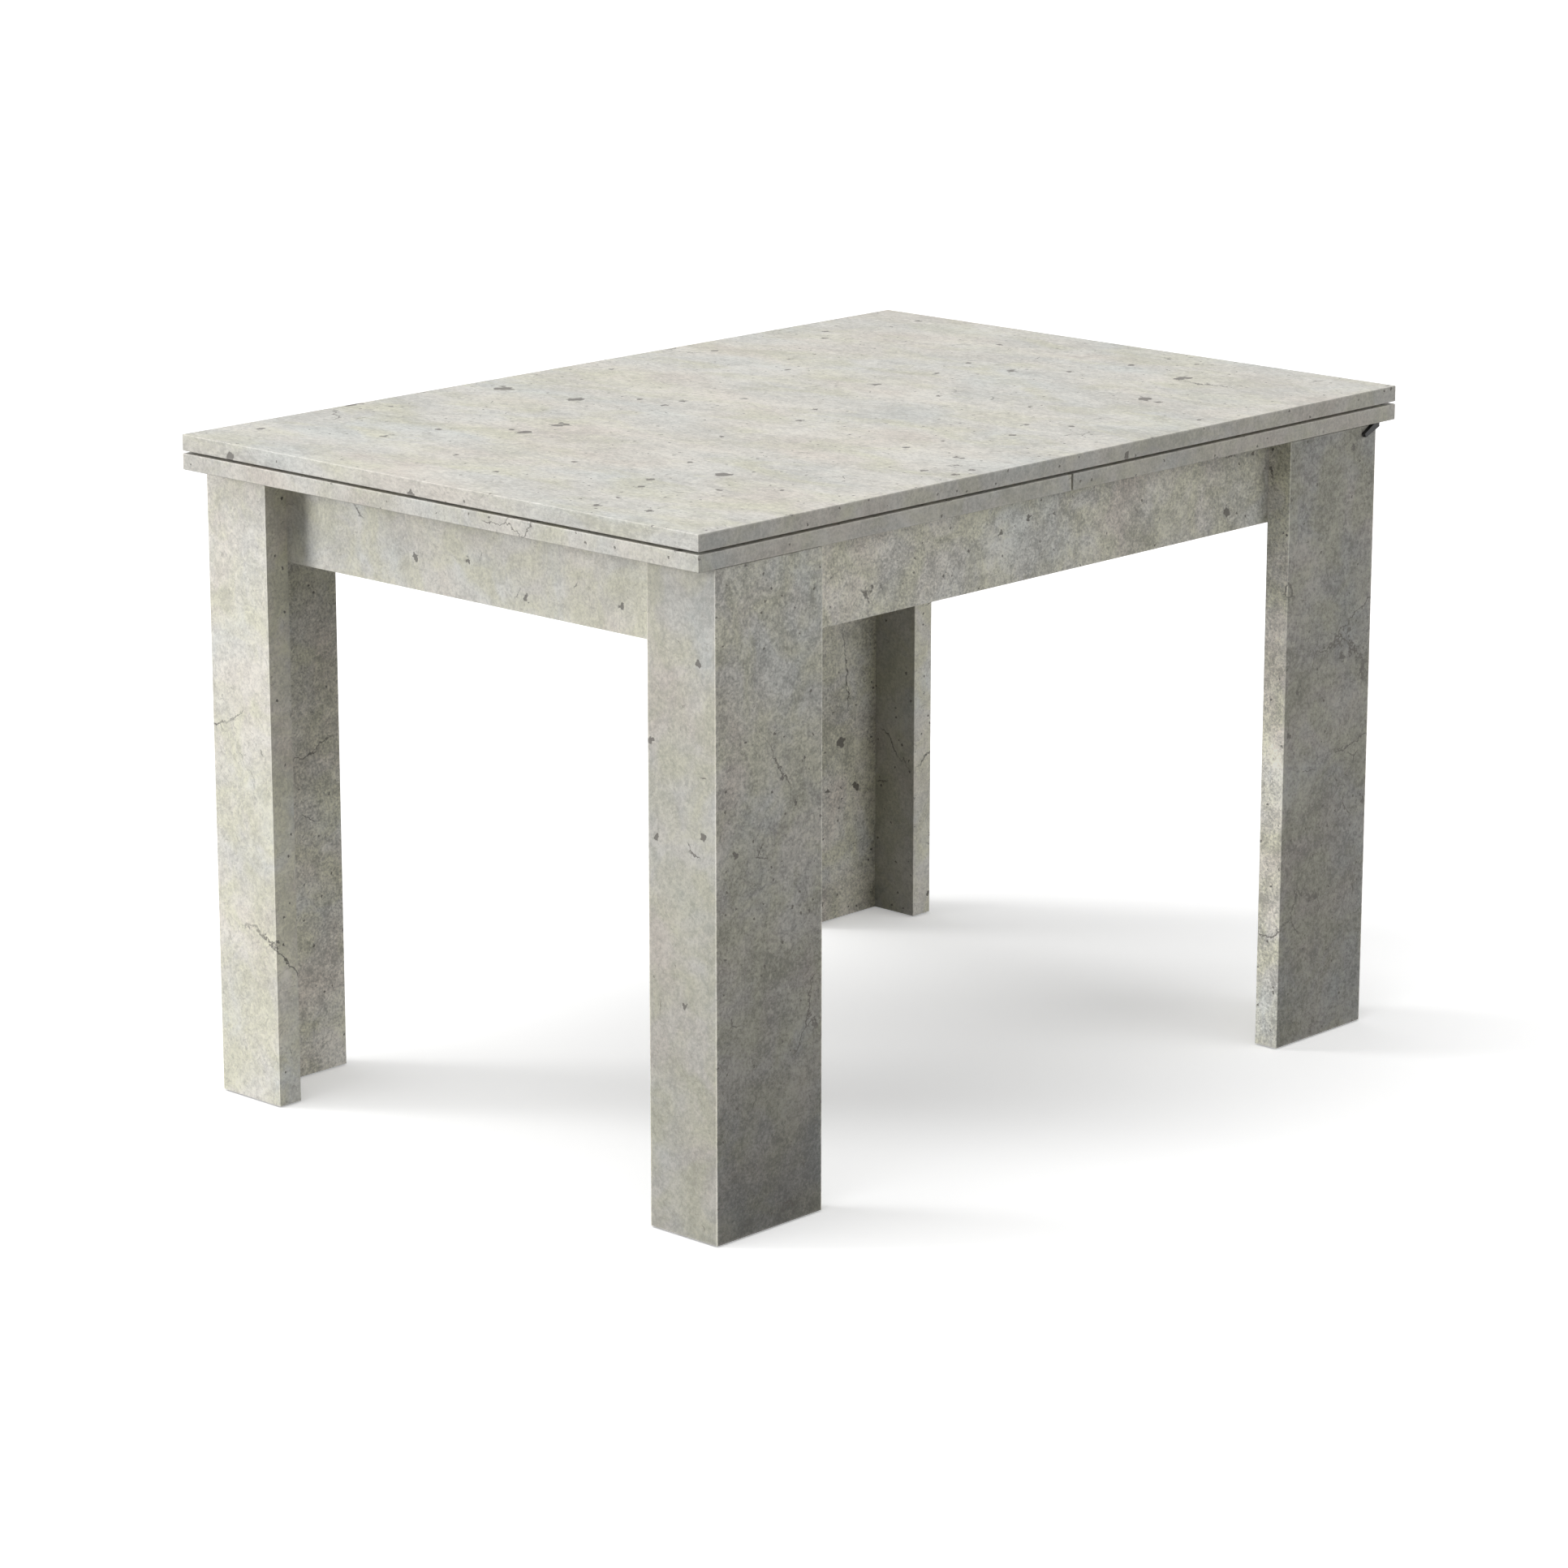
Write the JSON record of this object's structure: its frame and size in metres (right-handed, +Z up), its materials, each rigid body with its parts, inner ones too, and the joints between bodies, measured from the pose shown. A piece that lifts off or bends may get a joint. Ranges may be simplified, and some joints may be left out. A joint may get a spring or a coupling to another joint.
{
  "type": "extendable dining table",
  "caption": "Rectangular draw-leaf dining table on L-shaped board legs: a fixed top over two leaves that slide out of the ends on ball runners.",
  "frame": {"origin": "on the floor, under the middle of the table top", "axes": "+X along the table towards the right-hand end, +Y from the front long side to the back one, +Z up"},
  "size_m": [1.2, 0.82, 0.79],
  "materials": {
    "concrete_effect_board": "satin concrete-effect melamine on particle board",
    "plain_white_board": "plain light-grey melamine board",
    "beech": "unfinished turned beech",
    "zinc_plated_steel": "zinc plated",
    "bright_steel": "zinc plated",
    "brass": "turned",
    "grey_felt": "pressed felt",
    "nylon": "moulded nylon",
    "black_plastic": "moulded, fine grain"
  },
  "bodies": {
    "frame": {"apron_dowels": "beech", "back_apron": "concrete_effect_board", "back_left_corner_bracket": "zinc_plated_steel", "back_left_foot_glides": "nylon", "back_left_leg_long_board": "concrete_effect_board", "back_left_leg_short_board": "concrete_effect_board", "back_left_runner_fixed": "zinc_plated_steel", "back_right_corner_bracket": "zinc_plated_steel", "back_right_foot_glides": "nylon", "back_right_leg_long_board": "concrete_effect_board", "back_right_leg_short_board": "concrete_effect_board", "back_right_runner_fixed": "zinc_plated_steel", "bearer_screws": "bright_steel", "centre_bearer": "plain_white_board", "centre_rail": "plain_white_board", "fixed_runner_screws": "bright_steel", "front_apron": "concrete_effect_board", "front_left_corner_bracket": "zinc_plated_steel", "front_left_foot_glides": "nylon", "front_left_leg_long_board": "concrete_effect_board", "front_left_leg_short_board": "concrete_effect_board", "front_left_runner_fixed": "zinc_plated_steel", "front_right_corner_bracket": "zinc_plated_steel", "front_right_foot_glides": "nylon", "front_right_leg_long_board": "concrete_effect_board", "front_right_leg_short_board": "concrete_effect_board", "front_right_runner_fixed": "zinc_plated_steel", "left_apron": "concrete_effect_board", "left_glide_strip": "nylon", "leg_bolts": "bright_steel", "leg_inserts": "brass", "rail_bracket_screws": "bright_steel", "rail_brackets": "zinc_plated_steel", "right_apron": "concrete_effect_board", "right_glide_strip": "nylon", "top_felt_pads": "grey_felt", "top_panel": "concrete_effect_board", "top_screws": "bright_steel"},
    "left_leaf": {"back_left_leaf_batten": "plain_white_board", "back_left_runner_inner": "zinc_plated_steel", "front_left_leaf_batten": "plain_white_board", "front_left_runner_inner": "zinc_plated_steel", "left_leaf": "concrete_effect_board", "left_leaf_runner_screws": "bright_steel", "left_leaf_screws": "bright_steel"},
    "left_runner_middles": {"back_left_runner_middle": "zinc_plated_steel", "front_left_runner_middle": "zinc_plated_steel"},
    "right_leaf": {"back_right_leaf_batten": "plain_white_board", "back_right_runner_inner": "zinc_plated_steel", "front_right_leaf_batten": "plain_white_board", "front_right_runner_inner": "zinc_plated_steel", "right_leaf": "concrete_effect_board", "right_leaf_finger_tab": "black_plastic", "right_leaf_runner_screws": "bright_steel", "right_leaf_screws": "bright_steel"},
    "right_runner_middles": {"back_right_runner_middle": "zinc_plated_steel", "front_right_runner_middle": "zinc_plated_steel"}
  },
  "joints": [
    {"name": "left_leaf_slide", "type": "slide", "parent": "frame", "child": "left_leaf", "axis": [-1, 0, 0], "range_m": [0, 0.24]},
    {"name": "right_leaf_slide", "type": "slide", "parent": "frame", "child": "right_leaf", "axis": [1, 0, 0], "range_m": [0, 0.24]},
    {"name": "left_runner_middle_slide", "type": "slide", "parent": "frame", "child": "left_runner_middles", "axis": [-1, 0, 0], "range_m": [0, 0.12]},
    {"name": "right_runner_middle_slide", "type": "slide", "parent": "frame", "child": "right_runner_middles", "axis": [1, 0, 0], "range_m": [0, 0.12]}
  ],
  "couplings": [
    {"joint": "left_runner_middle_slide", "follows": "left_leaf_slide", "ratio": 0.5},
    {"joint": "right_runner_middle_slide", "follows": "right_leaf_slide", "ratio": 0.5}
  ]
}
